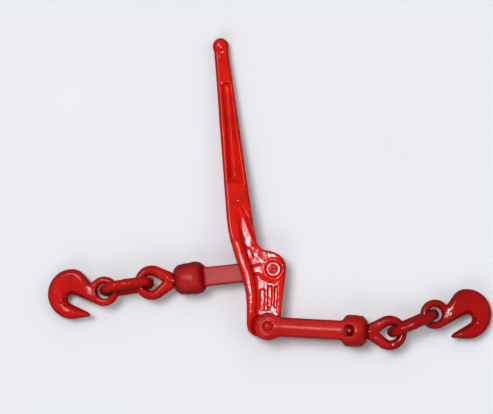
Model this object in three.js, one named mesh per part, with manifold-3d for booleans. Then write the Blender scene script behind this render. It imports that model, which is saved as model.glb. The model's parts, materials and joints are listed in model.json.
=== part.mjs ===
// Lever-type load binder: a forged toggle lever that draws a swivel hook on a flat bar towards a swivel hook on
// a fork. It lies open on its side, the way it is put down on a bench, with the lever square to the two hooks.
// Millimetres, +Z up. The lever, bar and fork share one plane, which leans a little because the lever's thin tip
// and the thick heel both rest on the bench. The finished group is moved so that its box stands centred on Z = 0.

import * as THREE from "three";
import { mergeVertices } from "three/addons/utils/BufferGeometryUtils.js";
import Module from "manifold-3d";

const wasm = await Module();
wasm.setup();

// ---------------------------------------------------------------- driving dimensions

const deg = THREE.MathUtils.degToRad;
const FIT_GAP = 0.4; // air between pieces that bear on each other

const PLANE_HEIGHT = 24; // middle plane above the bench, at the heel
const PLANE_LEAN = deg(2.45); // the plane falls towards the lever's tip

const LINK_PIN_AT = new THREE.Vector2(7.3, 74); // draw bar pin, from the heel pivot
const CHEEK_INNER = 8.2; // half of the slot between the lever's two cheeks
const CHEEK_FACE = 13.2; // half the thickness over the cheeks
const FLANGE_FACE = 19; // half the thickness over the proud flange
const NECK_THICK = 15; // half the thickness where the handle leaves the fork
const TIP_THICK = 7.5; // half the thickness at the tip
const TIP = { x: -61, y: 364.4, r: 8.8 };
const HEEL_R = 16.5;
const HEEL_REACH = 89.6; // the heel is turned about the bar pin, so that the bar's bulb swings past it

const PIN_R = 7; // draw bar rivet shank
const PIN_HEAD_R = 9.8;
const HEEL_PIN_R = 6;
const HEEL_DOME_R = 7.4;

const YOKE_ANGLE = deg(-3);
const YOKE_LENGTH = 129.5; // heel pivot to the crown's end face
const YOKE_GAP_END = 98.5; // heel pivot to the bottom of the fork
const YOKE_R = 21.2; // round outside of fork and crown
const ARM_HALF_WIDTH = 13;
const ARM_INNER = 13.8;
const EAR_R = 18;
const EAR_FACE = 20.4;

const BAR_ANGLE = deg(186.3);
const BAR_HALF_WIDTH = 12.3;
const BAR_THICK = 7.6; // half
const BAR_EYE_R = 13.6;
const BULB_AT = 110; // bar pin to the middle of the bulb
const BULB_R = 21.5;
const BAR_LENGTH = 129.3; // bar pin to the bulb's end face

const SHANK_R = 7; // swivel shank
const SWIVEL_HEAD = { r: 11, thick: 8 };
const BULB_WALL = 9; // metal the shank runs through, between the swivel head and the shoulder
const CROWN_WALL = 19;
const EYE = { at: 28.9, outer: 22.4, side: 12.8, bow: 11.5, thick: 11.8 }; // pear-shaped eye, from its shoulder
const EYE_ROOT = 10; // half width of its shoulder

const LINK = { bar: 13, inner: 20, pitch: 58.8 }; // bar diameter, inner width, end bar to end bar
const BOW_R = EYE.outer - EYE.bow / 2; // middle line of the eye's bow
const LINK_SEAT = (EYE.bow + LINK.bar) / 2 + 1.2; // eye bow to the link end bar, their middle lines

const HOOK = { bowl: 32.5, reach: 42, eye: 19.2, hole: 9.7, plate: 6, body: 9.5 };
const SLOT = { x: -1.2, y: -6.5, r: 6.6, angle: deg(-29.5) }; // grab slot's blind end and direction

const RED = new THREE.MeshStandardMaterial({ color: 0xc41818, roughness: 0.28, metalness: 0 });

// ---------------------------------------------------------------- solids

function solidOf(geometry) {
  const bare = geometry.index ? geometry.toNonIndexed() : geometry.clone();
  for (const name of Object.keys(bare.attributes)) {
    if (name !== "position") bare.deleteAttribute(name);
  }
  const merged = mergeVertices(bare, 1e-4);
  return new wasm.Manifold(new wasm.Mesh({
    numProp: 3,
    vertProperties: new Float32Array(merged.attributes.position.array),
    triVerts: new Uint32Array(merged.index.array),
  }));
}

function geometryOf(solid) {
  const mesh = solid.getMesh();
  const geometry = new THREE.BufferGeometry();
  const position = new THREE.BufferAttribute(new Float32Array(mesh.vertProperties), 3);
  geometry.setAttribute("position", position);
  geometry.setIndex(new THREE.BufferAttribute(new Uint32Array(mesh.triVerts), 1));
  return geometry;
}

const join = (first, ...rest) => rest.reduce((sum, s) => sum.add(s), first);
const cut = (first, ...rest) => rest.reduce((left, s) => left.subtract(s), first);

// An outline in XY, from z = low to z = high, its edges bevelled when `bevel` is given.
function plate(shape, low, high, { bevel = 0, segments = 10, rounds = 1 } = {}) {
  const geometry = new THREE.ExtrudeGeometry(shape, {
    depth: high - low - 2 * bevel,
    bevelEnabled: bevel > 0,
    bevelThickness: bevel,
    bevelSize: bevel,
    bevelOffset: -bevel,
    bevelSegments: rounds,
    curveSegments: segments,
  });
  return solidOf(geometry.translate(0, 0, low + bevel));
}

// A profile of [radius, height] points turned about Z.
function turned(points, segments = 28) {
  return solidOf(new THREE.LatheGeometry(points.map(([r, h]) => new THREE.Vector2(r, h)), segments)
    .rotateX(Math.PI / 2));
}

// A profile of [radius, x] points turned about X.
function turnedAlongX(points, segments = 28) {
  return turned(points, segments).rotate([0, 90, 0]);
}

function box(low, high) {
  const size = new THREE.Vector3().subVectors(high, low);
  const middle = new THREE.Vector3().addVectors(low, high).multiplyScalar(0.5);
  return solidOf(new THREE.BoxGeometry(...size).translate(...middle));
}

const rod = (r, low, high, segments = 28) => turned([[0, low], [r, low], [r, high], [0, high]], segments);
const disc = (x, y, r) => new THREE.Shape().absarc(x, y, r, 0, 2 * Math.PI);

function mesh(name, solid) {
  const made = new THREE.Mesh(geometryOf(solid), RED);
  made.name = name;
  return made;
}

function frame(name, x, y, z, turn = 0) {
  const group = new THREE.Group();
  group.name = name;
  group.position.set(x, y, z);
  group.rotation.z = turn;
  return group;
}

// ---------------------------------------------------------------- lever

// Plan of the whole forging, seen from above: handle, shoulder, boss round the bar pin and rounded heel.
function leverPlan() {
  const plan = new THREE.Shape();
  plan.moveTo(TIP.x + TIP.r, TIP.y);
  plan.absarc(TIP.x, TIP.y, TIP.r, 0, Math.PI);
  plan.lineTo(-53, 140);
  plan.bezierCurveTo(-49, 92, -28, 70, -27, 28);
  plan.lineTo(-27, 3);
  plan.quadraticCurveTo(-26.6, -9, -16, -12.4);
  const reach = (x) => LINK_PIN_AT.y - Math.sqrt(HEEL_REACH ** 2 - (x - LINK_PIN_AT.x) ** 2);
  plan.lineTo(-8, reach(-8));
  plan.lineTo(0, reach(0));
  plan.lineTo(7, reach(7));
  plan.absarc(0, 0, HEEL_R, deg(-62), 0);
  plan.bezierCurveTo(17.6, 30, 23, 58, 24, 74.5);
  plan.bezierCurveTo(24, 89, 14, 96.6, -4, 98.1);
  plan.quadraticCurveTo(-12.6, 99.6, -14.3, 109);
  plan.bezierCurveTo(-15.4, 120, -18, 128, -20.8, 147.5);
  return plan;
}

// Half thickness along the lever: a thick fork and a handle that thins evenly to the tip.
function leverSide() {
  const side = new THREE.Shape();
  const stations = [[-30, FLANGE_FACE], [112, FLANGE_FACE], [150, NECK_THICK], [257, 9], [380, TIP_THICK]];
  stations.forEach(([y, half], i) => (i ? side.lineTo(y, half) : side.moveTo(y, half)));
  stations.reverse().forEach(([y, half]) => side.lineTo(y, -half));
  const solid = solidOf(new THREE.ExtrudeGeometry(side, { depth: 140, bevelEnabled: false }));
  return solid.rotate([90, 0, 90]).translate([-100, 0, 0]); // profile in YZ, extruded along X
}

// What is cut from each face down to the cheek: all that lies right of the proud left flange.
function cheekPocket() {
  const pocket = new THREE.Shape();
  pocket.moveTo(-37.5, 158);
  pocket.lineTo(-35.8, 131.8);
  pocket.bezierCurveTo(-29, 90, -13, 72, -12.6, 38);
  pocket.lineTo(-13.4, 17);
  pocket.absarc(0, 0, EAR_R + 0.8, deg(128), deg(250));
  pocket.lineTo(-7, -40);
  pocket.lineTo(60, -40);
  pocket.lineTo(60, 104);
  pocket.lineTo(-15.5, 104);
  pocket.lineTo(-26, 134);
  return pocket;
}

// The long recess in each side of the handle that makes its section an I.
function handleRecess() {
  const recess = new THREE.Shape();
  recess.moveTo(-51.5, 310);
  recess.absarc(-56.3, 310, 4.8, 0, Math.PI);
  recess.absarc(-46.6, 190, 4, Math.PI, 1.5 * Math.PI);
  recess.absarc(-39.6, 190, 4, 1.5 * Math.PI, 2 * Math.PI);
  return recess;
}

// The slot between the cheeks: a round end at the bar pin, opening left and down over the bar's whole swing.
function barSlot(open, closed) {
  const r = BAR_EYE_R + 0.7;
  const { x, y } = LINK_PIN_AT;
  const slot = new THREE.Shape();
  slot.moveTo(x + r * Math.cos(closed + Math.PI / 2), y + r * Math.sin(closed + Math.PI / 2));
  slot.absarc(x, y, r, closed + Math.PI / 2 - 2 * Math.PI, open - Math.PI / 2);
  slot.lineTo(slot.currentPoint.x + 130 * Math.cos(open), slot.currentPoint.y + 130 * Math.sin(open));
  slot.lineTo(-120, -60);
  slot.lineTo(60, -60);
  slot.lineTo(60, 50);
  slot.lineTo(x + r, 50);
  return slot;
}

function lever() {
  const bothFaces = (shape, floor) => join(
    plate(shape, floor, 30, { segments: 8 }), plate(shape, -30, -floor, { segments: 8 }));
  let solid = plate(leverPlan(), -25, 25, { segments: 9 }).intersect(leverSide());
  solid = cut(solid, bothFaces(cheekPocket(), CHEEK_FACE), bothFaces(handleRecess(), 4.5));
  solid = cut(solid, plate(barSlot(deg(141), deg(266)), -CHEEK_INNER, CHEEK_INNER));
  const pinHole = join(
    rod(PIN_R + FIT_GAP, -30, 30),
    rod(PIN_HEAD_R + FIT_GAP, CHEEK_FACE - 2.8, 30),
    rod(PIN_HEAD_R + FIT_GAP, -30, -CHEEK_FACE + 2.8),
  ).translate([LINK_PIN_AT.x, LINK_PIN_AT.y, 0]);
  const foot = CHEEK_INNER - 0.1;
  const sink = turned([
    [0, -30], [HEEL_PIN_R + FIT_GAP, -30], [HEEL_PIN_R + FIT_GAP, -foot - 2.1], [8.6, -foot], [8.6, foot],
    [HEEL_PIN_R + FIT_GAP, foot + 2.1], [HEEL_PIN_R + FIT_GAP, 30], [0, 30],
  ]);
  return cut(solid, pinHole, sink);
}

// Rivet through both cheeks and the bar, its flat heads let into the cheeks so that the fork clears them.
function barRivet() {
  const face = CHEEK_FACE - 0.3;
  const under = CHEEK_FACE - 2.4;
  return turned([
    [0, -face + 0.6], [3.6, -face + 0.6], [4.4, -face], [PIN_HEAD_R - 0.8, -face], [PIN_HEAD_R, -face + 0.8],
    [PIN_HEAD_R, -under], [PIN_R, -under], [PIN_R, under], [PIN_HEAD_R, under],
    [PIN_HEAD_R, face - 0.8], [PIN_HEAD_R - 0.8, face], [4.4, face], [3.6, face - 0.6], [0, face - 0.6],
  ]);
}

// One of the two heel rivets: a dome on the ear outside, a countersunk end inside, nothing between the cheeks.
function heelRivet(side) {
  const inner = CHEEK_INNER + 0.3;
  const seat = EAR_FACE + 0.3;
  const solid = turned([
    [0, inner], [7.9, inner], [HEEL_PIN_R, inner + 1.9], [HEEL_PIN_R, seat], [HEEL_DOME_R, seat],
    [HEEL_DOME_R - 0.6, seat + 1.1], [HEEL_DOME_R - 2.4, seat + 2.1], [2.6, seat + 2.6], [0, seat + 2.7],
  ], 24);
  return side > 0 ? solid : solid.rotate([180, 0, 0]);
}

// ---------------------------------------------------------------- draw bar

function drawBar() {
  const plan = new THREE.Shape();
  const flat = Math.sqrt(BAR_EYE_R ** 2 - BAR_HALF_WIDTH ** 2);
  const turn = Math.atan2(BAR_HALF_WIDTH, flat);
  plan.absarc(0, 0, BAR_EYE_R, turn, 2 * Math.PI - turn);
  plan.lineTo(BULB_AT - 24.5, -BAR_HALF_WIDTH);
  plan.lineTo(BULB_AT - 17, -BULB_R + 0.8);
  plan.lineTo(BULB_AT + 7, -BULB_R + 0.8);
  plan.quadraticCurveTo(BULB_AT + 17, -BULB_R + 0.8, BAR_LENGTH, -EYE_ROOT);
  plan.lineTo(BAR_LENGTH, EYE_ROOT);
  plan.quadraticCurveTo(BULB_AT + 17, BULB_R - 0.8, BULB_AT + 7, BULB_R - 0.8);
  plan.lineTo(BULB_AT - 17, BULB_R - 0.8);
  plan.lineTo(BULB_AT - 24.5, BAR_HALF_WIDTH);
  const bar = plate(plan, -BAR_THICK, BAR_THICK, { bevel: 1.2, segments: 8 });
  const ball = solidOf(new THREE.SphereGeometry(BULB_R, 24, 14).translate(BULB_AT, 0, 0));
  const face = box(new THREE.Vector3(BAR_LENGTH, -40, -40), new THREE.Vector3(BAR_LENGTH + 20, 40, 40));
  const wall = BAR_LENGTH - BULB_WALL;
  const cavity = turnedAlongX([[0, wall - 16], [12, wall - 16], [12, wall], [0, wall]]);
  const window = box(new THREE.Vector3(wall - 16, -40, -7.5), new THREE.Vector3(wall, 40, 7.5));
  const bore = turnedAlongX([[0, wall - 5], [SHANK_R + 0.6, wall - 5], [SHANK_R + 0.6, 200], [0, 200]]);
  return cut(join(bar, ball), face, cavity, window, bore, rod(PIN_R + FIT_GAP, -30, 30));
}

// ---------------------------------------------------------------- yoke

function yoke() {
  const profile = [
    [0, 0], [YOKE_R - 0.6, 0], [YOKE_R - 0.6, YOKE_LENGTH - 11.5], [YOKE_R - 2.2, YOKE_LENGTH - 6.5],
    [YOKE_R - 6, YOKE_LENGTH - 2], [EYE_ROOT, YOKE_LENGTH], [0, YOKE_LENGTH],
  ];
  const plan = new THREE.Shape();
  plan.moveTo(0, -ARM_HALF_WIDTH);
  plan.lineTo(YOKE_GAP_END, -ARM_HALF_WIDTH);
  plan.lineTo(YOKE_GAP_END + 5.5, -YOKE_R);
  plan.lineTo(YOKE_LENGTH + 5, -YOKE_R);
  plan.lineTo(YOKE_LENGTH + 5, YOKE_R);
  plan.lineTo(YOKE_GAP_END + 5.5, YOKE_R);
  plan.lineTo(YOKE_GAP_END, ARM_HALF_WIDTH);
  plan.lineTo(0, ARM_HALF_WIDTH);
  const body = turnedAlongX(profile, 36).intersect(plate(plan, -30, 30));
  const ears = plate(disc(0, 0, EAR_R), -EAR_FACE, EAR_FACE, { bevel: 1.2, segments: 14 });
  const gap = box(new THREE.Vector3(-60, -60, -ARM_INNER), new THREE.Vector3(YOKE_GAP_END, 60, ARM_INNER));
  const wall = YOKE_LENGTH - CROWN_WALL;
  const cavity = turnedAlongX([[0, 90], [12.4, 90], [12.4, wall], [0, wall]]);
  const bore = turnedAlongX([[0, 100], [SHANK_R + 0.6, 100], [SHANK_R + 0.6, 200], [0, 200]]);
  const window = box(
    new THREE.Vector3(YOKE_GAP_END + 1.5, -7, -40), new THREE.Vector3(wall - 0.5, 7, 40));
  return cut(join(body, ears), gap, cavity, bore, window, rod(HEEL_PIN_R + FIT_GAP, -40, 40));
}

// ---------------------------------------------------------------- swivel eye, link and hook

// Pear-shaped eye on a shank, upset into a head inside its housing. x = 0 is the shoulder on the housing's face.
function swivelEye(wall) {
  const centre = EYE.at;
  const touch = Math.acos((EYE.outer - EYE_ROOT) / centre); // where the straight sides meet the bow
  const pear = new THREE.Shape();
  pear.moveTo(FIT_GAP, -EYE_ROOT);
  pear.lineTo(centre - EYE.outer * Math.cos(touch), -EYE.outer * Math.sin(touch));
  pear.absarc(centre, 0, EYE.outer, -Math.PI + touch, Math.PI - touch);
  pear.lineTo(FIT_GAP, EYE_ROOT);
  const inner = EYE.outer - EYE.side;
  const hole = new THREE.Path();
  const nose = centre - 13;
  hole.moveTo(nose, -1.8);
  hole.lineTo(centre - 3.4, -inner + 0.5);
  hole.absarc(centre + EYE.side - EYE.bow, 0, inner, -1.9, 1.9);
  hole.lineTo(nose, 1.8);
  pear.holes.push(hole);
  const ring = plate(pear, -EYE.thick / 2, EYE.thick / 2, { bevel: 4.6, segments: 8, rounds: 3 });
  const back = -wall - FIT_GAP;
  const { r, thick } = SWIVEL_HEAD;
  const shank = turnedAlongX([
    [0, back - thick], [r - 2.5, back - thick], [r, back - thick + 2.5], [r, back], [SHANK_R, back],
    [SHANK_R, FIT_GAP + 2.4], [0, FIT_GAP + 2.4],
  ]);
  return join(ring, shank);
}

// Middle line of an oval link in XZ, from the middle of its near end bar round to it again.
class LinkTrack extends THREE.Curve {
  getPoint(t, point = new THREE.Vector3()) {
    const r = (LINK.inner + LINK.bar) / 2;
    const straight = LINK.pitch - 2 * r;
    const half = Math.PI * r + straight;
    const s = (t < 0.5 ? t : 1 - t) * 2 * half; // the lower half mirrors the upper one
    const side = t < 0.5 ? 1 : -1;
    const first = Math.min(s / r, Math.PI / 2);
    const second = Math.max(0, (s - straight) / r - Math.PI / 2);
    const run = THREE.MathUtils.clamp(s - (Math.PI / 2) * r, 0, straight);
    const x = r * (1 - Math.cos(first)) + run + r * Math.sin(second);
    const z = r * Math.sin(first) - r * (1 - Math.cos(second));
    return point.set(x, 0, side * z);
  }
}

// Welded oval link. The middle of its near end bar is the origin, and it runs along +X with its loop in XZ.
function chainLink() {
  return solidOf(new THREE.TubeGeometry(new LinkTrack(), 36, LINK.bar / 2, 12, true));
}

// Grab hook. The middle of its round bowl is the origin and its eye lies along +X.
function grabHook() {
  const along = new THREE.Vector2(Math.cos(SLOT.angle), Math.sin(SLOT.angle));
  const across = new THREE.Vector2(-along.y, along.x); // towards the shank
  const side = SLOT.angle - Math.PI / 2;
  const plan = new THREE.Shape();
  plan.absarc(HOOK.reach, 0, HOOK.eye, side, Math.PI * 0.79);
  plan.bezierCurveTo(22, 12, 17.5, 29, 5, 32.1);
  plan.absarc(0, 0, HOOK.bowl, deg(81), deg(262));
  plan.lineTo(20.6, -29.4);
  plan.lineTo(21, -27);
  const low = (t) => [SLOT.x + t * along.x - SLOT.r * across.x, SLOT.y + t * along.y - SLOT.r * across.y];
  plan.lineTo(...low(26));
  plan.lineTo(...low(0));
  plan.absarc(SLOT.x, SLOT.y, SLOT.r, side, side + Math.PI, true);
  const bowlLens = turned([
    [0, -HOOK.body], [HOOK.bowl - 6, -HOOK.body], [HOOK.bowl, -4], [HOOK.bowl, 4],
    [HOOK.bowl - 6, HOOK.body], [0, HOOK.body],
  ], 40);
  const body = plate(plan, -HOOK.body, HOOK.body, { segments: 12 }).intersect(bowlLens);
  const hole = turned([
    [0, -20], [HOOK.hole + 3, -20], [HOOK.hole + 3, -HOOK.plate], [HOOK.hole, -HOOK.plate + 3],
    [HOOK.hole, HOOK.plate - 3], [HOOK.hole + 3, HOOK.plate], [HOOK.hole + 3, 20], [0, 20],
  ]).translate([HOOK.reach, 0, 0]);
  return cut(join(plate(plan, -HOOK.plate, HOOK.plate, { segments: 12 }), body), hole);
}

// ---------------------------------------------------------------- assembly

// Swivel eye, link and hook that trail from a housing. All angles are in the binder's plane; heights are above it.
function tackle(side, at, axis, pose) {
  const eye = frame(`${side}_swivel_frame`, at.x, at.y, 0, axis);
  eye.add(mesh(`${side}_swivel_eye`, swivelEye(pose.wall)));
  const middle = new THREE.Vector2(EYE.at + EYE.side - EYE.bow, 0).rotateAround(new THREE.Vector2(), axis).add(at);
  const away = new THREE.Vector2(Math.cos(pose.link), Math.sin(pose.link));
  const bow = middle.clone().addScaledVector(away, BOW_R - EYE.side + EYE.bow);
  const link = frame(`${side}_link_frame`, bow.x, bow.y, pose.linkHeight, pose.link);
  const loop = mesh(`${side}_link`, chainLink().translate([-LINK_SEAT, 0, 0]));
  loop.rotation.x = pose.roll;
  link.add(loop);
  const far = bow.clone().addScaledVector(away, LINK.pitch - LINK_SEAT);
  const pin = frame(`${side}_hook_frame`, far.x, far.y, pose.linkHeight, pose.link);
  pin.rotation.x = pose.roll; // its z axis is the link's far end bar
  const eyeAt = far.clone().add(pose.hookShift);
  const hook = frame(`${side}_hook_pose`, eyeAt.x, eyeAt.y, pose.hookHeight, pose.hook);
  const body = mesh(`${side}_grab_hook`, grabHook().translate([-HOOK.reach, 0, 0]));
  body.rotation.set(pose.flip, -pose.droop, 0, "ZYX");
  hook.add(body);
  return [eye, link, pin, hook];
}

const plane = new THREE.Group();
plane.name = "plane_frame";

const bar = frame("draw_bar_frame", LINK_PIN_AT.x, LINK_PIN_AT.y, 0, BAR_ANGLE);
bar.add(mesh("draw_bar", drawBar()));
const fork = frame("yoke_frame", 0, 0, 0, YOKE_ANGLE);
fork.add(mesh("yoke", yoke()));
const rivet = frame("bar_rivet_frame", LINK_PIN_AT.x, LINK_PIN_AT.y, 0);
rivet.add(mesh("draw_bar_rivet", barRivet()));
plane.add(bar, fork, rivet, mesh("lever_handle", lever()));
plane.add(mesh("heel_rivet_upper", heelRivet(1)), mesh("heel_rivet_lower", heelRivet(-1)));

const barEnd = new THREE.Vector2(BAR_LENGTH, 0).rotateAround(new THREE.Vector2(), BAR_ANGLE).add(LINK_PIN_AT);
const yokeEnd = new THREE.Vector2(YOKE_LENGTH, 0).rotateAround(new THREE.Vector2(), YOKE_ANGLE);
plane.add(...tackle("left", barEnd, BAR_ANGLE, {
  wall: BULB_WALL, link: deg(189.4), linkHeight: 0.2, roll: deg(12),
  hookShift: new THREE.Vector2(-0.6, -1), hookHeight: -1.4, hook: deg(4.9), droop: deg(10.6), flip: 0,
}));
plane.add(...tackle("right", yokeEnd, YOKE_ANGLE, {
  wall: CROWN_WALL, link: deg(23.3), linkHeight: 0, roll: deg(5),
  hookShift: new THREE.Vector2(1.8, 0), hookHeight: -1.6, hook: deg(180.6), droop: deg(10.6), flip: Math.PI,
}));

plane.position.z = PLANE_HEIGHT;
plane.rotation.x = -PLANE_LEAN;

const binder = new THREE.Group();
binder.add(plane);
const extent = new THREE.Box3().setFromObject(binder, true);
const centre = extent.getCenter(new THREE.Vector3());
binder.position.set(-centre.x, -centre.y, -extent.min.z);
binder.updateMatrixWorld(true);

export default binder;
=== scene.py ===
"""Lever load binder: steel forgings in glossy red enamel, laid open on a pale studio floor.

Every forging is a distance field in millimetres, in its own frame at its joint: plan outlines with a
thickness, joined and cut with fillets the way a forging die leaves them. The field's surface becomes a quad
mesh.
"""

import json
from math import atan2, cos, degrees, hypot, pi, radians, sin

import bpy
import numpy as np
from mathutils import Matrix, Vector


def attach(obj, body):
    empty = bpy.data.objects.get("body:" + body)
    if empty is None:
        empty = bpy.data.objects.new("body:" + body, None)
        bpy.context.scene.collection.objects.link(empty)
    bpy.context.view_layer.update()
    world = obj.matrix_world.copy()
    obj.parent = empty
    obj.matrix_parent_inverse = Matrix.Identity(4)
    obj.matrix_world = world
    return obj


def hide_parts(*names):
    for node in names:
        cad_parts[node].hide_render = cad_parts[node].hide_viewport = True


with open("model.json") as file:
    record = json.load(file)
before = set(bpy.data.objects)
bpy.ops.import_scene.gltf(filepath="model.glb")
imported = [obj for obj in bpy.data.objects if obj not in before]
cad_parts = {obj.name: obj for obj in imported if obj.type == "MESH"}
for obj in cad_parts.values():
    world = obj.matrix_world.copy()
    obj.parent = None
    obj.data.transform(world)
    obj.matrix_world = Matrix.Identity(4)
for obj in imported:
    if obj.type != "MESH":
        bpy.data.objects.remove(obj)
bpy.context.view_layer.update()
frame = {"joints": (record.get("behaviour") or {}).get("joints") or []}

# ------------------------------------------------------------------ dimensions, millimetres

GRID = 0.85  # spacing of the sampled fields
LEVER_GRID = 0.7
TACKLE_GRID = 0.7  # eyes, links and hooks
RIVET_GRID = 0.6
MARGIN = 2.5  # cells sampled beyond a piece's box

BAR_PIN = (7.3, 74.0)  # from the heel pivot, in the lever's plan
CHEEK_GAP = 8.2  # half the slot between the cheeks
CHEEK = 13.2  # half thickness over the cheeks
FLANGE = 19.0  # half thickness over the flange
FLANGE_DRAFT = 0.8  # how far the flange's inner wall leans out for each millimetre it rises
FLANGE_SLANT = 1.28  # that wall's own length for each millimetre it rises
WEB = 4.5  # half thickness of the handle's web
LEVER_STATIONS = (-30, 112, 150, 257, 380)  # places along the lever
LEVER_HALVES = (FLANGE, FLANGE, 15, 9, 7.5)  # its half thickness at each
TIP = (-61.0, 364.4, 8.8)  # middle and radius of the handle's end
KNOB_R = 9.0
HEEL_R = 16.5
HEEL_REACH = 89.6  # the heel is turned about the bar pin, so that the bar's bulb swings past it

PIN_R = 7.0  # the draw bar's rivet
PIN_HEAD_R = 9.8
HEEL_PIN_R = 6.0
PIN_PLAY = 0.4  # between a rivet and the hole it fills

YOKE_LENGTH = 129.5  # heel pivot to the crown's end face
YOKE_GAP = 98.5  # heel pivot to the end of the slot between the arms
YOKE_R = 21.2
ARM_INNER = 13.8  # half the slot between the arms
EAR_R = 18.0
EAR_FACE = 20.4  # half thickness over the ears

BAR_LENGTH = 129.3  # bar pin to the bulb's end face
BAR_HALF = 12.3  # half width
BAR_THICK = 7.6  # half thickness
BAR_EYE_R = 13.6
BAR_END = 118.0  # the flat bar's own end, inside the bulb
BULB_AT = 110.0
BULB_R = 21.7
BULB_NEAR = 86.0  # where the bulb starts

EYE_AT = 28.9  # shoulder to the middle of a swivel's eye
EYE_R = 22.4
EYE_SIDE = 12.8  # width of the eye's sides
EYE_BOW = 11.5  # and of its bow
EYE_ROOT = 10.0  # half width at the shoulder
EYE_HALF = 6.1  # half thickness
SHANK_R = 7.0
SHANK_PLAY = 0.6
SWIVEL_HEAD_R = 11.0
SWIVEL_HEAD_THICK = 8.0
BULB_WALL = 9.0  # between a swivel's head and the end face
CROWN_WALL = 19.0

LINK_R = 6.5
LINK_TRACK = 16.5  # radius of the middle line at a link's ends
LINK_PITCH = 58.8
LINK_SEAT = 13.2  # eye's bow to the link's end bar
HOOK_BOWL = 32.5
HOOK_REACH = 42.0  # middle of the bowl to the middle of the hook's eye
HOOK_EYE = 19.2
HOOK_HOLE = 9.7

# ------------------------------------------------------------------ distance fields


def union(a, b, fillet):
    h = np.clip(0.5 + 0.5 * (b - a) / fillet, 0, 1)
    return b + (a - b) * h - fillet * h * (1 - h)


def common(a, b, fillet):
    return -union(-a, -b, fillet)


def cut(a, b, fillet):
    return common(a, -b, fillet)


def length(*parts):
    return np.sqrt(sum(p * p for p in parts))


def thick(plan, z, half, edge):
    """A plan outline made `half` thick each side of z = 0, with its edges rounded to `edge`."""
    a = plan + edge
    b = np.abs(z) - half + edge
    return np.minimum(np.maximum(a, b), 0) + length(np.maximum(a, 0), np.maximum(b, 0)) - edge


def rod(r, along, low, high, radius, edge=0.8):
    """A round bar: r is the distance from its axis, `along` the position on it."""
    return thick(r - radius, along - (low + high) / 2, (high - low) / 2, edge)


def outline(points):
    """Signed distance in the plane to a closed outline."""
    corners = [tuple(map(float, p)) for p in points]

    def distance(x, y):
        best, inside = np.inf, False
        for (ax, ay), (bx, by) in zip(corners, corners[1:] + corners[:1]):
            ex, ey = bx - ax, by - ay
            wx, wy = x - ax, y - ay
            t = np.clip((wx * ex + wy * ey) / (ex * ex + ey * ey), 0, 1)
            best = np.minimum(best, (wx - ex * t) ** 2 + (wy - ey * t) ** 2)
            inside = inside ^ (((ay > y) != (by > y)) & (x < ex * wy / (ey or 1) + ax))
        return np.where(inside, -1, 1) * np.sqrt(best)

    return distance


def segment(x, y, start, end):
    ex, ey = end[0] - start[0], end[1] - start[1]
    wx, wy = x - start[0], y - start[1]
    t = np.clip((wx * ex + wy * ey) / (ex * ex + ey * ey), 0, 1)
    return length(wx - ex * t, wy - ey * t)


def arc(x, y, r, start, end, steps=10):
    angles = np.radians(np.linspace(start, end, steps + 1))
    return [(x + r * cos(a), y + r * sin(a)) for a in angles]


def bend(*handles, steps=9):
    """A Bezier curve of two or three handles after its first point, without that first point."""
    handles = np.array(handles, float)
    made = []
    for t in np.linspace(0, 1, steps + 1)[1:]:
        level = handles
        while len(level) > 1:
            level = level[:-1] * (1 - t) + level[1:] * t
        made.append(tuple(level[0]))
    return made


def pad(x, y, centre, half_x, half_y, corner, lean=0.0):
    """A round-cornered rectangle in the plane, leaning by `lean` degrees."""
    c, s = cos(radians(lean)), sin(radians(lean))
    u, v = x - centre[0], y - centre[1]
    a = np.abs(u * c + v * s) - half_x + corner
    b = np.abs(v * c - u * s) - half_y + corner
    return np.minimum(np.maximum(a, b), 0) + length(np.maximum(a, 0), np.maximum(b, 0)) - corner


# ------------------------------------------------------------------ lever


def lever_outline():
    tip_x, tip_y, tip_r = TIP
    reach = [(x, BAR_PIN[1] - (HEEL_REACH**2 - (x - BAR_PIN[0]) ** 2) ** 0.5) for x in (-8, 0, 7)]
    return (
        arc(tip_x, tip_y, tip_r, 0, 180)
        + [(-53, 140)]
        + bend((-53, 140), (-49, 92), (-28, 70), (-27, 28))
        + [(-27, 3)]
        + bend((-27, 3), (-26.6, -9), (-16, -12.4), steps=5)
        + reach
        + arc(0, 0, HEEL_R, -62, 0, 6)
        + bend((HEEL_R, 0), (17.6, 30), (23, 58), (24, 74.5))
        + bend((24, 74.5), (24, 89), (14, 96.6), (-3, 98.6))
        + bend((-3, 98.6), (-11.6, 100.4), (-14.3, 110.5), steps=6)
        + bend((-14.3, 110.5), (-15.6, 120), (-18.2, 129), (-20.8, 147.5), steps=4)
    )


def pocket_outline():
    return (
        [(-37.5, 158), (-35.8, 131.8)]
        + bend((-35.8, 131.8), (-29, 90), (-13, 72), (-12.6, 38))
        + [(-13.4, 17)]
        + arc(0, 0, EAR_R + 0.8, 128, 250)
        + [(-7, -40), (60, -40), (60, 104), (-15.5, 104), (-26, 134)]
    )


def handle_recess(x, y, face):
    """The handle's long recess. Its four walls lean outwards as they rise, least of all at the upper end."""
    rise = face - WEB
    # Left, right, upper and lower wall: two points of its foot, and its lean for each millimetre it rises.
    walls = (((-56.2, 310), (-44.2, 190), 0.95), ((-41.5, 190), (-51.2, 310), 1.3),
             ((-40, 313.5), (-70, 313.5), 0.6), ((-60, 194), (-30, 194), 1.2))
    inside = None
    for (ax, ay), (bx, by), draft in walls:
        reach = hypot(bx - ax, by - ay)
        wall = ((by - ay) * (x - ax) - (bx - ax) * (y - ay)) / reach
        wall = (wall - draft * rise) / (1 + draft * draft) ** 0.5
        inside = wall if inside is None else common(inside, wall, 3.0)
    return common(inside, -rise, 2.0)


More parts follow.
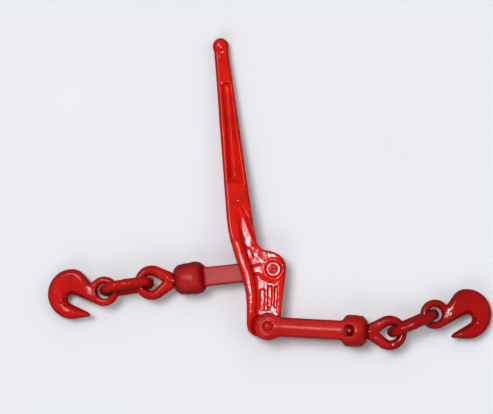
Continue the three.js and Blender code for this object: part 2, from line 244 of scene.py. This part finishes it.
def slot_outline(open_at=141, closed_at=266):
    r = BAR_EYE_R + 0.7
    x, y = BAR_PIN
    ring = arc(x, y, r, closed_at + 90, open_at + 270, 14)
    far = (ring[-1][0] + 130 * cos(radians(open_at)), ring[-1][1] + 130 * sin(radians(open_at)))
    return ring + [far, (-120, -60), (60, -60), (60, 50), (x + r, 50)]


def lever(x, y, z):
    face = np.abs(z)
    half = np.interp(y, LEVER_STATIONS, LEVER_HALVES)
    body = thick(outline(lever_outline())(x, y), z, half, 4.2)
    knob = length((x - TIP[0]) / 1.04, (y - TIP[1]) / 1.05, z / 0.96) - KNOB_R
    body = union(body, knob, 4)
    body = union(body, knob_collar(x, y, z), 2.5)

    # The flange's inner wall leans out as it rises from the cheek, and so do the walls of the recesses.
    slope = (outline(pocket_outline())(x, y) - FLANGE_DRAFT * (face - CHEEK)) / FLANGE_SLANT
    body = cut(body, common(slope, CHEEK - face, 1.8), 3.2)
    body = cut(body, handle_recess(x, y, face), 1.2)
    body = cheek_relief(body, x, y, face)

    body = cut(body, common(outline(slot_outline())(x, y), face - CHEEK_GAP, 1.0), 1.0)
    pin = length(x - BAR_PIN[0], y - BAR_PIN[1])
    body = cut(body, pin - PIN_R - PIN_PLAY, 0.6)
    body = cut(body, common(pin - PIN_HEAD_R - 0.1, CHEEK - 2.8 - face, 0.6), 0.4)
    heel = length(x, y)
    sink = np.maximum(HEEL_PIN_R + PIN_PLAY, 8.6 - 1.1 * (face - CHEEK_GAP))
    return cut(body, heel - sink, 0.6)


def knob_collar(x, y, z):
    """Slight shoulder where the tip's knob runs into the handle."""
    lean = (x - TIP[0]) * 0.05
    return length(x - TIP[0] - 0.6, y - TIP[1] + 14 + lean, z / 0.9) - 7.6


def cheek_relief(body, x, y, face):
    """What the die leaves on a cheek: a ring round the pin, an edge under it, sunk panels and short ribs."""
    edge_paths = (((-21, 66), (-11.5, 68), (-7.5, 62.5), (0, 59), (5.5, 57), (11.5, 57.5)),
                  ((-21, 77), (-10, 80.5)))
    panels = (((-7, 34.5), 3.0, 13.5), ((2.6, 38.5), 2.7, 14), ((10.6, 37.5), 1.9, 14))
    ribs = (((-9.5, 92), (-3.5, 86.5)), ((-15.5, 98), (-7.5, 93)),
            ((-19.5, 108), (-13, 101)), ((-14.5, 62), (-12, 42)))
    px, py = x - BAR_PIN[0], y - BAR_PIN[1]
    pin = length(px, py)
    # The cheek falls away towards its right-hand edge.
    body = common(body, (face - CHEEK + 0.03 * np.maximum(px - 5, 0) ** 2) / 1.1 - 9 * (x < 0), 1.0)
    body = union(body, length(pin - 12.8, face - CHEEK + 1.4) - 1.5, 1.4)
    edge = np.inf
    for path in edge_paths:
        for start, end in zip(path, path[1:]):
            edge = np.minimum(edge, segment(x, y, start, end))
    body = cut(body, length(edge * 1.15, 0.8 * (face - CHEEK)) - 1.3, 0.5)
    for centre, half_x, half_y in panels:
        panel = pad(x, y, centre, half_x, half_y, 1.6, -2)
        body = cut(body, common(panel, CHEEK - 2.0 - face, 0.7), 0.6)
    hollow = outline([(-29, 103), (-21.5, 100), (-18, 88), (-24.5, 85)])(x, y)
    body = cut(body, common(hollow, CHEEK - 1.6 - face, 1.2), 0.8)
    for start, end in ribs:
        rib = length(segment(x, y, start, end), face - CHEEK + 1.6) - 1.6
        body = union(body, rib, 1.2)
    return body


def bar_rivet(x, y, z):
    r, face = length(x, y), np.abs(z)
    head = common(rod(r, face, CHEEK - 2.4, CHEEK - 0.1, PIN_HEAD_R, 0.5), -face, 0.1)
    solid = union(rod(r, z, -CHEEK + 1, CHEEK - 1, PIN_R, 0.4), head, 0.5)
    dimple = length(r - 4.6, face - CHEEK + 0.1) - 0.9
    centre = length(r, (face - CHEEK - 1.6)) - 2.6
    return cut(cut(solid, dimple, 0.6), centre, 0.8)


def heel_rivet(x, y, z):
    """The upper rivet, from its countersunk foot between the cheeks to its dome on the ear."""
    r = length(x, y)
    foot = np.maximum(HEEL_PIN_R, 7.9 - 1.1 * (z - CHEEK_GAP - 0.3))
    shank = common(r - foot, np.abs(z - 15) - 6.5, 0.5)
    dome = common(length(r, z - EAR_FACE + 5.4) - 8.8, r - 7.5, 1.2)
    dome = common(dome, EAR_FACE + 0.25 - z, 0.3)
    return union(shank, dome, 0.5)


# ------------------------------------------------------------------ draw bar and yoke


def draw_bar(x, y, z):
    flat = (BAR_EYE_R**2 - BAR_HALF**2) ** 0.5
    turn = degrees(atan2(BAR_HALF, flat))
    plan = outline(arc(0, 0, BAR_EYE_R, turn, 360 - turn, 18) + [(BAR_END, -BAR_HALF), (BAR_END, BAR_HALF)])
    bar = thick(plan(x, y), z, BAR_THICK, 2.2)
    axis = length(y, z)
    barrel = outline([
        (BULB_NEAR, 0), (BULB_NEAR, 9), (88.4, 14.8), (91.4, 17.9), (95, 20.3), (100, 21.2), (106, 21.3),
        (116, 20.9), (121.5, 19.4), (125.6, 16.8), (128.3, 13.8),
        (BAR_LENGTH, 10.8), (BAR_LENGTH, 0), (BAR_LENGTH, -5), (BULB_NEAR, -5),
    ])
    # Above and below the bar the bulb is a ball, to swing past the heel and the yoke's ears.
    ball = BULB_AT + 0.7 - np.sqrt(np.maximum(BULB_R**2 - z * z, 4))
    bulb = common(barrel(x, axis), np.where(np.abs(z) < BAR_THICK - 0.4, BULB_NEAR, ball) - x, 1.6)
    body = union(bar, bulb, 2.4)
    wall = BAR_LENGTH - BULB_WALL
    cavity = rod(axis, x, wall - 16, wall, 12, 1.5)
    window = common(pad(x, z, (wall - 8, 0), 7.2, 4.6, 2.4), 4 - np.abs(y), 1)
    body = cut(cut(body, cavity, 0.8), window, 1.6)
    body = cut(body, common(axis - SHANK_R - SHANK_PLAY, wall - 4 - x, 0.5), 1.0)
    return cut(body, length(x, y) - PIN_R - PIN_PLAY, 0.8)


def yoke(x, y, z):
    axis = length(y, z)
    # The crown's end is drawn in, and the arms are narrower than the crown.
    taper = np.interp(x, (-20, YOKE_LENGTH - 13, YOKE_LENGTH - 6, YOKE_LENGTH - 1.5), (0, 0, 1.4, 6.2))
    width = np.interp(x, (-20, 60, YOKE_GAP - 3, YOKE_GAP + 4.5, 150), (13.3, 12.9, 12.9, 21.9, 21.9))
    body = common(axis - YOKE_R + taper, np.maximum(np.abs(y) - width, x - YOKE_LENGTH), 3.6)
    ear_top = EAR_FACE - 0.008 * (x * x + y * y)
    ear = common(length(x, y) - EAR_R, np.abs(z) - ear_top, 3.0)
    body = union(common(body, -2 - x, 6), ear, 5)
    r = length(x, y)
    bead = length(r - 11.8, np.abs(z) - EAR_FACE + 1.2) - 1.2
    body = union(body, bead, 1.6)
    gap = common(np.abs(z) - ARM_INNER, x - YOKE_GAP, 5)
    body = cut(body, gap, 1.4)
    wall = YOKE_LENGTH - CROWN_WALL
    body = cut(body, common(axis - 12.4, np.maximum(80 - x, x - wall), 1), 0.8)
    window = pad(x, y, ((YOKE_GAP + wall + 1) / 2, 0), 4.8, 7.0, 3.6)
    body = cut(body, common(window, 10 - np.abs(z), 1), 4.6)
    body = cut(body, common(axis - SHANK_R - SHANK_PLAY, 100 - x, 0.5), 1.0)
    return cut(body, r - HEEL_PIN_R - PIN_PLAY, 0.6)


# ------------------------------------------------------------------ swivel eyes, links and hooks


def swivel_eye(wall):
    """Pear-shaped eye ahead of its shoulder, with a headed shank that reaches back through `wall`."""
    touch = degrees(np.arccos((EYE_R - EYE_ROOT) / EYE_AT))
    round_end = arc(EYE_AT, 0, EYE_R, touch - 180, 180 - touch, 24)
    outer = [(-1.0, 1.2 - EYE_ROOT)] + round_end + [(-1.0, EYE_ROOT - 1.2)]
    inner_r = EYE_R - EYE_SIDE
    nose = EYE_AT - 13
    centre = EYE_AT + EYE_SIDE - EYE_BOW
    hole = [(nose, -0.8)] + arc(centre, 0, inner_r, -112, 112, 18) + [(nose, 0.8)]
    outer, hole = outline(outer), outline(hole)

    def eye(x, y, z):
        plan = common(outer(x, y), -hole(x, y) + 0.2, 4.0)
        ring = thick(plan, z, EYE_HALF, 5.4)
        neck = common(ring, 0.4 - x, 0.8)
        axis = length(y, z)
        back = -wall - 0.4
        shank = rod(axis, x, back - 2, 8, SHANK_R, 0.8)
        head = rod(axis, x, back - SWIVEL_HEAD_THICK, back, SWIVEL_HEAD_R, 2.0)
        return union(union(neck, shank, 2.0), head, 0.8)

    return eye


def chain_link(x, y, z):
    """Near end bar at the origin, running along +X, its loop in XZ, with a low weld ring on one limb."""
    middle, straight = LINK_PITCH / 2, LINK_PITCH / 2 - LINK_TRACK
    u = np.abs(x - middle)
    track = length(np.maximum(u - straight, 0), z) - LINK_TRACK
    bar = length(track, y) - LINK_R
    weld = np.exp(-(((x - middle) / 1.7) ** 2)) * (z > 0)
    return bar - 0.45 * weld - 0.12 * np.exp(-((u / 5.5) ** 2)) * (z > 0)


def grab_hook():
    """Grab hook about the middle of its bowl, with its eye along +X."""
    lean = -29.5
    along = (cos(radians(lean)), sin(radians(lean)))
    blind_x, blind_y, half_slot = -1.2, -6.5, 6.6

    def low(t):
        return (blind_x + t * along[0] + half_slot * along[1], blind_y + t * along[1] - half_slot * along[0])

    plan = outline(
        arc(HOOK_REACH, 0, HOOK_EYE, lean - 90, 142, 20)
        + bend((26.9, 11.8), (22, 12), (17.5, 29), (5, 32.1))
        + arc(0, 0, HOOK_BOWL, 81, 262, 24)
        + [(18.6, -31.0), (21.4, -28.8), low(25.2)]
        + arc(blind_x, blind_y, half_slot, lean + 270, lean + 90, 12)
    )
    line = (-along[1], along[0])

    def hook(x, y, z):
        across = (x - blind_x) * line[0] + (y - blind_y) * line[1]
        onward = (x - blind_x) * along[0] + (y - blind_y) * along[1]
        swell = np.clip((34 - x) / 20, 0, 1)
        half = 6 + 3.6 * swell * swell * (3 - 2 * swell)
        tip = np.clip((onward - 4) / 26, 0, 1) * np.clip((-across - 2) / 6, 0, 1)
        half = half - 2.6 * tip
        throat = np.maximum(length(np.minimum(onward, 0), across) - half_slot, 0)
        half = half - 2.2 * np.exp(-((throat / 5.0) ** 2)) * swell
        body = thick(plan(x, y), z, half, np.minimum(half - 0.6, 4.6 + 2.0 * swell))
        eye = length(x - HOOK_REACH, y)
        flare = 0.5 * np.maximum(np.abs(z) - 2.5, 0) ** 1.4 * 0.6
        body = cut(body, eye - HOOK_HOLE - flare, 1.2)
        button = length(x + 14.5, y + 7, (np.abs(z) - 9.2) * 1.6) - 2.6
        return union(body, button, 2.2)

    return hook


# ------------------------------------------------------------------ from field to mesh


def surface_nets(field):
    """Quad mesh on the zero level of a sampled field: one point in each cell the surface crosses."""
    inside = field < 0
    sides = (slice(0, -1), slice(1, None))
    corners = sum(inside[i, j, k].astype(np.uint8) for i in sides for j in sides for k in sides)
    active = (corners > 0) & (corners < 8)
    cells = np.argwhere(active)
    index = np.full(active.shape, -1)
    index[active] = np.arange(len(cells))
    total, hits = np.zeros((len(cells), 3)), np.zeros(len(cells))
    for axis in range(3):
        for i in (0, 1):
            for j in (0, 1):
                start = cells.copy()
                start[:, (axis + 1) % 3] += i
                start[:, (axis + 2) % 3] += j
                end = start.copy()
                end[:, axis] += 1
                a, b = field[tuple(start.T)], field[tuple(end.T)]
                crossed = (a < 0) != (b < 0)
                point = start[crossed].astype(float)
                point[:, axis] += a[crossed] / (a[crossed] - b[crossed])
                total[crossed] += point
                hits[crossed] += 1
    quads = []
    for axis in range(3):
        u, v = (axis + 1) % 3, (axis + 2) % 3
        ahead = np.take(inside, range(1, inside.shape[axis]), axis)
        here = np.take(inside, range(inside.shape[axis] - 1), axis)
        edges = np.argwhere(ahead != here)
        ring = []
        for du, dv in ((1, 1), (0, 1), (0, 0), (1, 0)):
            cell = edges.copy()
            cell[:, u] -= du
            cell[:, v] -= dv
            ring.append(index[tuple(cell.T)])
        quad = np.stack(ring, 1)
        outward = here[tuple(edges.T)]
        quad[~outward] = quad[~outward][:, ::-1]
        quads.append(quad)
    return total / hits[:, None], np.concatenate(quads)


def lattice_noise(points, size, seed):
    """Smooth noise between -1 and 1, its bumps about `size` mm across."""
    grid = np.random.RandomState(seed).uniform(-1, 1, (32, 32, 32))
    scaled = points / size
    base = np.floor(scaled).astype(int)
    t = scaled - base
    t = t * t * (3 - 2 * t)
    value = 0
    for i in (0, 1):
        for j in (0, 1):
            for k in (0, 1):
                weight = 1
                for axis, step in enumerate((i, j, k)):
                    weight = weight * (t[:, axis] if step else 1 - t[:, axis])
                value = value + weight * grid[tuple(((base + (i, j, k)) % 32).T)]
    return value


def forged(name, field, low, high, place, step=GRID, dent=0.1):
    """Mesh of a field between two corners, dented by about `dent` as a forging is, at its place in metres."""
    low, high = np.array(low, float) - MARGIN * step, np.array(high, float) + MARGIN * step
    x, y, z = (np.arange(low[i], high[i] + step, step, dtype=np.float32) for i in range(3))
    sampled = field(x[:, None, None], y[None, :, None], z[None, None, :])
    points, quads = surface_nets(np.broadcast_to(sampled, (len(x), len(y), len(z))))
    points = points * step + low
    normal = np.zeros_like(points)
    ring = points[quads]
    facing = np.cross(ring[:, 2] - ring[:, 0], ring[:, 3] - ring[:, 1])
    for corner in range(4):
        np.add.at(normal, quads[:, corner], facing)
    normal /= np.linalg.norm(normal, axis=1)[:, None] + 1e-9
    dents = lattice_noise(points, 17, 1) + 0.4 * lattice_noise(points + 70, 6, 2)
    if name == "lever_forging":
        # Its cheeks are dented more finely.
        cheek = np.clip(1.6 - np.abs(points[:, 1] - 62) / 45, 0, 1) * (np.abs(points[:, 2]) > CHEEK - 2)
        dents += 0.8 * cheek * lattice_noise(points + 20, 4.2, 5)
    points += normal * (dent * dents)[:, None]
    mesh = bpy.data.meshes.new(name)
    mesh.from_pydata(points.tolist(), [], quads.tolist())
    mesh.transform(place)
    mesh.shade_smooth()
    made = bpy.data.objects.new(name, mesh)
    bpy.context.scene.collection.objects.link(made)
    return made


# ------------------------------------------------------------------ enamel


def shader(name):
    material = bpy.data.materials.new(name)
    material.use_nodes = True
    tree = material.node_tree
    tree.nodes.clear()
    return material, tree


def node(tree, kind, inputs=(), **settings):
    made = tree.nodes.new("ShaderNode" + kind)
    for key, value in settings.items():
        setattr(made, key, value)
    for key, value in dict(inputs).items():
        if isinstance(value, bpy.types.NodeSocket):
            tree.links.new(value, made.inputs[key])
        else:
            made.inputs[key].default_value = value
    return made


def noise(tree, place, scale, detail, roughness=0.5):
    inputs = {"Vector": place, "Scale": scale, "Detail": detail, "Roughness": roughness}
    return node(tree, "TexNoise", inputs).outputs["Fac"]


def remap(tree, value, low, high, to_low=0.0, to_high=1.0):
    inputs = {"Value": value, "From Min": low, "From Max": high, "To Min": to_low, "To Max": to_high}
    return node(tree, "MapRange", inputs).outputs["Result"]


def ramp(tree, factor, *stops):
    made = node(tree, "ValToRGB", {"Fac": factor})
    elements = made.color_ramp.elements
    while len(elements) < len(stops):
        elements.new(0.5)
    for element, (position, color) in zip(elements, stops):
        element.position = position
        element.color = (*color, 1)
    return made.outputs["Color"]


def enamel(name, red, gloss, glaze, texture, seed):
    """Red enamel over forging scale, dulled on the flanks and darkened there and in its hollows by painted
    shade.
    `glaze` is the roughness of its clear top, and `texture` is how much of the scale shows through."""
    material, tree = shader(name)
    coordinates = node(tree, "TexCoord")
    shift = (seed, 0.7 * seed, 0.3 * seed)
    place = node(tree, "Mapping", {"Vector": coordinates.outputs["Object"], "Location": shift})
    place = place.outputs["Vector"]
    cloud = noise(tree, place, 38.0, 4.0, 0.6)
    scale = noise(tree, place, 300.0, 3.0)
    pits = node(tree, "TexVoronoi", {"Vector": place, "Scale": 260.0, "Randomness": 1.0}).outputs["Distance"]
    pits = remap(tree, pits, 0.0, 0.35)
    peel = noise(tree, place, 1300.0, 1.0)

    deep = tuple(c * 0.72 for c in red)
    colour = ramp(tree, cloud, (0.3, deep), (0.6, red))
    flank = node(tree, "SeparateXYZ", {"Vector": coordinates.outputs["Normal"]}).outputs["Z"]
    flank = node(tree, "Math", {0: flank}, operation="ABSOLUTE").outputs[0]
    # Painted shade: the steeper a face stands in the piece's own frame, the darker its colour, down to a
    # grey-red on the flanks.
    flank_shade = ramp(tree, flank, (0.1, (0.42, 0.3, 0.34)), (0.6, (0.62, 0.57, 0.59)), (0.88, (1, 1, 1)))
    # Painted shade in creases and hollows, taken from ambient occlusion.
    crevice_occlusion = node(tree, "AmbientOcclusion", {"Distance": 0.006}, samples=6).outputs["AO"]
    hollow = ramp(tree, crevice_occlusion, (0.3, (0.3, 0.22, 0.22)), (0.85, (1, 1, 1)))
    mottle = ramp(tree, scale, (0.3, (0.7, 0.6, 0.6)), (0.5, (1, 1, 1)))
    # Multiplied into the colour: painted shade on the flanks, painted shade in the hollows, and the scale's
    # own mottle.
    for shade_and_mottle, weight in ((flank_shade, 1.0), (hollow, 0.8), (mottle, 0.6)):
        layers = {"Fac": weight, "Color1": colour, "Color2": shade_and_mottle}
        colour = node(tree, "MixRGB", layers, blend_type="MULTIPLY").outputs["Color"]

    high = node(tree, "NewGeometry").outputs["Pointiness"]
    worn = remap(tree, high, 0.53, 0.62)
    patchy = remap(tree, noise(tree, place, 160.0, 3.0), 0.5, 0.7)
    worn = node(tree, "Math", {0: worn, 1: patchy}, operation="MULTIPLY").outputs[0]
    rubbed = (min(1, red[0] * 1.2), red[1] * 1.6, red[2] * 1.4, 1)
    colour = node(tree, "MixRGB", {"Fac": worn, "Color1": colour, "Color2": rubbed}).outputs["Color"]

    rough = remap(tree, cloud, 0.3, 0.7, gloss, gloss + 0.08)
    dull = remap(tree, flank, 0.1, 0.5, 0.35, 0.0)
    rough = node(tree, "Math", {0: rough, 1: dull}, operation="ADD").outputs[0]
    relief = node(tree, "Math", {0: scale, 1: pits}, operation="MULTIPLY").outputs[0]
    bump = node(tree, "Bump", {"Height": relief, "Strength": texture, "Distance": 0.0003}).outputs["Normal"]
    orange_peel = {"Height": peel, "Strength": 0.1, "Distance": 0.00004, "Normal": bump}
    bump = node(tree, "Bump", orange_peel).outputs["Normal"]
    # Steep flanks get no coat, which would mirror the bright floor.
    coat = remap(tree, flank, 0.66, 0.82)
    principled = node(tree, "BsdfPrincipled", {
        "Base Color": colour,
        "Roughness": rough,
        "Normal": bump,
        "Specular IOR Level": 0.04,
        "Coat Weight": coat,
        "Coat Roughness": glaze,
        "Coat Normal": bump,
    })
    out = node(tree, "OutputMaterial")
    tree.links.new(principled.outputs["BSDF"], out.inputs["Surface"])
    return material


lever_red = enamel("lever_enamel", (0.720, 0.010, 0.004), 0.25, 0.06, 0.45, 1.3)
bar_red = enamel("bar_enamel", (0.460, 0.010, 0.009), 0.34, 0.32, 0.4, 4.1)
yoke_red = enamel("yoke_enamel", (0.540, 0.009, 0.007), 0.27, 0.24, 0.4, 7.7)
rivet_red = enamel("rivet_enamel", (0.560, 0.010, 0.009), 0.27, 0.12, 0.45, 5.2)
left_red = enamel("left_tackle_enamel", (0.540, 0.008, 0.006), 0.25, 0.08, 0.4, 2.9)
# The right-hand tackle wears a darker copy of the same red: painted shade for that side.
right_shaded_red = enamel("right_tackle_shaded_enamel", (0.400, 0.005, 0.004), 0.25, 0.08, 0.4, 6.4)

# ------------------------------------------------------------------ places, from the joints

joints = {j["name"]: (Vector(j["pos_m"]), Vector(j["axis"]).normalized()) for j in frame["joints"]}


def at(origin, x, z):
    """Matrix from millimetres in a piece's own frame to metres in the part's."""
    y = z.cross(x).normalized()
    turn = Matrix((x, y, z)).transposed().to_4x4()
    return Matrix.Translation(origin) @ turn @ Matrix.Scale(0.001, 4)


heel, up = joints["yoke_pivot"]
bar_pin = joints["draw_bar_pivot"][0]
across = Vector((1, 0, 0))
over = Matrix.Rotation(pi, 4, "X")


def add(name, body, cad_node, material, *solid, **options):
    made = forged(name, *solid, **options)
    made.data.materials.append(material)
    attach(made, body)
    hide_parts(cad_node)


lever_place = at(heel, across, up)
add("lever_forging", "lever", "lever_handle", lever_red, lever, (-71, -18, -20), (25, 374, 20), lever_place,
    step=LEVER_GRID)
add("draw_bar_rivet_pin", "lever", "draw_bar_rivet", rivet_red, bar_rivet, (-10, -10, -14), (10, 10, 14),
    at(bar_pin, across, up), step=RIVET_GRID)
rivet_box = ((-9, -9, 8), (9, 9, 24))
add("heel_rivet_top", "lever", "heel_rivet_upper", rivet_red, heel_rivet, *rivet_box, lever_place,
    step=RIVET_GRID)
add("heel_rivet_bottom", "lever", "heel_rivet_lower", rivet_red, heel_rivet, *rivet_box, lever_place @ over,
    step=RIVET_GRID)

bar_axis, yoke_axis = joints["left_swivel"][1], joints["right_swivel"][1]
add("draw_bar_forging", "draw_bar", "draw_bar", bar_red, draw_bar, (-14, -22, -22), (130, 22, 22),
    at(bar_pin, bar_axis, up), dent=0.05)
add("yoke_forging", "yoke", "yoke", yoke_red, yoke, (-19, -22, -22), (130, 22, 22), at(heel, yoke_axis, up))

for side, wall, red in (("left", BULB_WALL, left_red), ("right", CROWN_WALL, right_shaded_red)):
    shoulder, spin_axis = joints[side + "_swivel"]
    add(side + "_eye_forging", side + "_eye", side + "_swivel_eye", red, swivel_eye(wall),
        (-wall - 9, -23, -12), (EYE_AT + EYE_R, 23, 12), at(shoulder, spin_axis, up), step=TACKLE_GRID)
    bow, swing = joints[side + "_link_swing"]
    ahead = swing.cross(up).normalized()
    link_place = at(bow, ahead, ahead.cross(swing)) @ Matrix.Translation((-LINK_SEAT, 0, 0))
    add(side + "_link_bar", side + "_link", side + "_link", red, chain_link,
        (-7, -8, -24), (LINK_PITCH + 7, 8, 24), link_place, step=TACKLE_GRID)
    eye_centre, normal = joints[side + "_hook_swing"]
    sideways = normal.cross(up).normalized()
    hook_place = at(eye_centre, sideways.cross(normal), normal)
    if side == "right":
        hook_place = hook_place @ over
    hook_place = hook_place @ Matrix.Translation((-HOOK_REACH, 0, 0))
    add(side + "_hook_forging", side + "_hook", side + "_grab_hook", red, grab_hook(),
        (-33, -33, -10), (HOOK_REACH + 20, 33, 10), hook_place, step=TACKLE_GRID)

# ------------------------------------------------------------------ studio


def floor_paint():
    material, tree = shader("floor_paint")
    place = node(tree, "TexCoord").outputs["Object"]
    mottle = noise(tree, place, 3.0, 2.0)
    colour = ramp(tree, mottle, (0.3, (0.775, 0.79, 0.825)), (0.7, (0.80, 0.815, 0.85)))
    principled = node(tree, "BsdfPrincipled", {"Base Color": colour, "Roughness": 0.8})
    out = node(tree, "OutputMaterial")
    tree.links.new(principled.outputs["BSDF"], out.inputs["Surface"])
    return material


FLOOR_HALF = 30.0  # metres
floor_mesh = bpy.data.meshes.new("floor")
floor_corners = [(x * FLOOR_HALF, y * FLOOR_HALF, 0) for x, y in ((-1, -1), (1, -1), (1, 1), (-1, 1))]
floor_mesh.from_pydata(floor_corners, [], [(0, 1, 2, 3)])
floor = bpy.data.objects.new("floor", floor_mesh)
floor_mesh.materials.append(floor_paint())
bpy.context.scene.collection.objects.link(floor)


def softbox(name, place, target, size, watts):
    light = bpy.data.lights.new(name, "AREA")
    light.shape, light.size, light.size_y, light.energy = "RECTANGLE", size[0], size[1], watts
    made = bpy.data.objects.new(name, light)
    made.location = place
    made.rotation_euler = (Vector(target) - Vector(place)).to_track_quat("-Z", "Y").to_euler()
    bpy.context.scene.collection.objects.link(made)
    return made


def sun(name, direction, strength, spread, seen_in_gloss=False):
    light = bpy.data.lights.new(name, "SUN")
    light.energy, light.angle = strength, radians(spread)
    made = bpy.data.objects.new(name, light)
    made.rotation_euler = (-Vector(direction)).to_track_quat("-Z", "Y").to_euler()
    made.visible_glossy = seen_in_gloss
    bpy.context.scene.collection.objects.link(made)


sun("key", (-0.32, 0.28, 1), 1.6, 24)
sun("sheen", (-0.32, 0.28, 1), 0.35, 20, seen_in_gloss=True)
sun("right", (0.9, 0.1, 1), 0.5, 40)
sun("low", (-0.4, -0.9, 1), 0.7, 40)
sun("top", (0.1, 1, 1), 0.45, 40)
overhead = softbox("overhead", (0.045, 0.03, 1.9), (0.0, -0.09, 0.04), (0.12, 0.08), 2.6)
overhead.visible_camera = False

world = bpy.data.worlds.new("studio")
world.use_nodes = True
world.node_tree.nodes["Background"].inputs["Color"].default_value = (0.95, 0.97, 1.0, 1)
world.node_tree.nodes["Background"].inputs["Strength"].default_value = 0.05
bpy.context.scene.world = world
bpy.context.scene.view_settings.view_transform = "Standard"

# The camera looks straight down. The middle of its view lies to the left of the heel pivot and well above it.
DISTANCE, WIDTH = 4.5, 0.639  # metres: above the heel pivot, and across the view there
LEFT_OF_HEEL, ABOVE_HEEL = 0.0273, 0.1547
lens = bpy.data.cameras.new("camera")
lens.sensor_width = 36
lens.lens = lens.sensor_width * DISTANCE / WIDTH
camera = bpy.data.objects.new("camera", lens)
camera.location = (heel.x - LEFT_OF_HEEL, heel.y + ABOVE_HEEL, heel.z + DISTANCE)
bpy.context.scene.collection.objects.link(camera)
bpy.context.scene.camera = camera
